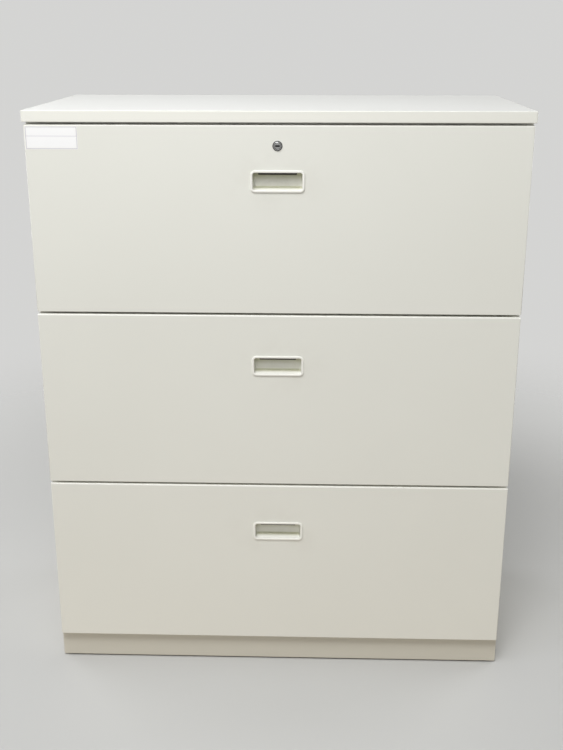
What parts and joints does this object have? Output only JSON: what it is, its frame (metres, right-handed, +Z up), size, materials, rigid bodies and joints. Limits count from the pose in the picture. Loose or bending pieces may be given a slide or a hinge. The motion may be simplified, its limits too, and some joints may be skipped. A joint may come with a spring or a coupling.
{
  "type": "lateral filing cabinet",
  "caption": "Upright lateral filing cabinet with full-width drawers on telescopic runners, recessed pulls with finger latches, a cam lock with a locking bar, a worktop and levelling feet.",
  "frame": {"origin": "on the floor, under the middle of the worktop", "axes": "+X to the right as seen from the front, -Y towards the front, +Z up"},
  "size_m": [0.9, 0.45, 1.112],
  "materials": {
    "paint": "satin white powder coat, slightly warm",
    "laminate": "satin white laminate on particle board",
    "edge_band": "satin white edge band",
    "pull_plastic": "satin warm white moulding",
    "latch_plastic": "matt dark grey moulding",
    "zinc_steel": "bright zinc plate",
    "lock_metal": "satin nickel plate",
    "foot_plastic": "matt black moulding"
  },
  "bodies": {
    "cabinet": {"worktop_board": "laminate", "worktop_edge_band": "edge_band", "left_side_panel": "paint", "right_side_panel": "paint", "top_panel": "paint", "bottom_panel": "paint", "back_panel": "paint", "front_left_upright": "paint", "front_right_upright": "paint", "rear_left_upright": "paint", "rear_right_upright": "paint", "cross_rail_1": "paint", "cross_rail_2": "paint", "cross_rail_3": "paint", "plinth_front_rail": "paint", "plinth_rear_rail": "paint", "plinth_left_rail": "paint", "plinth_right_rail": "paint", "outer_runner_1_left": "zinc_steel", "outer_runner_1_right": "zinc_steel", "outer_runner_2_left": "zinc_steel", "outer_runner_2_right": "zinc_steel", "outer_runner_3_left": "zinc_steel", "outer_runner_3_right": "zinc_steel"},
    "drawer_1": {"drawer_front_1": "paint", "front_liner_1": "paint", "drawer_tray_1": "paint", "pull_1": "pull_plastic", "inner_runner_1_left": "zinc_steel", "inner_runner_1_right": "zinc_steel", "lock_housing": "lock_metal"},
    "middle_runners_1": {"middle_runner_1_left": "zinc_steel", "middle_runner_1_right": "zinc_steel"},
    "latch_1": {"finger_latch_1": "latch_plastic"},
    "drawer_2": {"drawer_front_2": "paint", "front_liner_2": "paint", "drawer_tray_2": "paint", "pull_2": "pull_plastic", "inner_runner_2_left": "zinc_steel", "inner_runner_2_right": "zinc_steel"},
    "middle_runners_2": {"middle_runner_2_left": "zinc_steel", "middle_runner_2_right": "zinc_steel"},
    "latch_2": {"finger_latch_2": "latch_plastic"},
    "drawer_3": {"drawer_front_3": "paint", "front_liner_3": "paint", "drawer_tray_3": "paint", "pull_3": "pull_plastic", "inner_runner_3_left": "zinc_steel", "inner_runner_3_right": "zinc_steel"},
    "middle_runners_3": {"middle_runner_3_left": "zinc_steel", "middle_runner_3_right": "zinc_steel"},
    "latch_3": {"finger_latch_3": "latch_plastic"},
    "lock_barrel": {"lock_plug": "lock_metal", "lock_cam": "zinc_steel"},
    "lock_slider_bar": {"lock_slider": "zinc_steel"},
    "lock_lift_bar": {"lock_bar": "zinc_steel"},
    "front_left_foot": {"front_left_foot": "foot_plastic"},
    "front_right_foot": {"front_right_foot": "foot_plastic"},
    "rear_left_foot": {"rear_left_foot": "foot_plastic"},
    "rear_right_foot": {"rear_right_foot": "foot_plastic"}
  },
  "joints": [
    {"name": "drawer_1_slide", "type": "slide", "parent": "cabinet", "child": "drawer_1", "axis": [0, -1, 0], "range_m": [0, 0.38]},
    {"name": "drawer_2_slide", "type": "slide", "parent": "cabinet", "child": "drawer_2", "axis": [0, -1, 0], "range_m": [0, 0.38]},
    {"name": "drawer_3_slide", "type": "slide", "parent": "cabinet", "child": "drawer_3", "axis": [0, -1, 0], "range_m": [0, 0.38]},
    {"name": "middle_runners_1_slide", "type": "slide", "parent": "cabinet", "child": "middle_runners_1", "axis": [0, -1, 0], "range_m": [0, 0.19]},
    {"name": "middle_runners_2_slide", "type": "slide", "parent": "cabinet", "child": "middle_runners_2", "axis": [0, -1, 0], "range_m": [0, 0.19]},
    {"name": "middle_runners_3_slide", "type": "slide", "parent": "cabinet", "child": "middle_runners_3", "axis": [0, -1, 0], "range_m": [0, 0.19]},
    {"name": "latch_1_lift", "type": "slide", "parent": "drawer_1", "child": "latch_1", "axis": [0, 0, 1], "range_m": [0, 0.006], "stiffness_N_per_m": 300, "springref_m": -0.01},
    {"name": "latch_2_lift", "type": "slide", "parent": "drawer_2", "child": "latch_2", "axis": [0, 0, 1], "range_m": [0, 0.006], "stiffness_N_per_m": 300, "springref_m": -0.01},
    {"name": "latch_3_lift", "type": "slide", "parent": "drawer_3", "child": "latch_3", "axis": [0, 0, 1], "range_m": [0, 0.006], "stiffness_N_per_m": 300, "springref_m": -0.01},
    {"name": "lock_turn", "type": "hinge", "parent": "drawer_1", "child": "lock_barrel", "pos_m": [0, -0.2225, 1.052], "axis": [0, 1, 0], "range_deg": [0, 90]},
    {"name": "lock_slider_move", "type": "slide", "parent": "cabinet", "child": "lock_slider_bar", "axis": [1, 0, 0], "range_m": [0, 0.0128]},
    {"name": "lock_bar_lift", "type": "slide", "parent": "cabinet", "child": "lock_lift_bar", "axis": [0, 0, 1], "range_m": [0, 0.01]},
    {"name": "front_left_foot_level", "type": "slide", "parent": "cabinet", "child": "front_left_foot", "axis": [0, 0, -1], "range_m": [0, 0.012]},
    {"name": "front_right_foot_level", "type": "slide", "parent": "cabinet", "child": "front_right_foot", "axis": [0, 0, -1], "range_m": [0, 0.012]},
    {"name": "rear_left_foot_level", "type": "slide", "parent": "cabinet", "child": "rear_left_foot", "axis": [0, 0, -1], "range_m": [0, 0.012]},
    {"name": "rear_right_foot_level", "type": "slide", "parent": "cabinet", "child": "rear_right_foot", "axis": [0, 0, -1], "range_m": [0, 0.012]}
  ],
  "couplings": [
    {"joint": "middle_runners_1_slide", "follows": "drawer_1_slide", "ratio": 0.5},
    {"joint": "middle_runners_2_slide", "follows": "drawer_2_slide", "ratio": 0.5},
    {"joint": "middle_runners_3_slide", "follows": "drawer_3_slide", "ratio": 0.5},
    {"joint": "lock_turn", "follows": "lock_bar_lift", "rad_per_m": 157.08},
    {"joint": "lock_slider_move", "follows": "lock_bar_lift", "ratio": 1.2728}
  ]
}
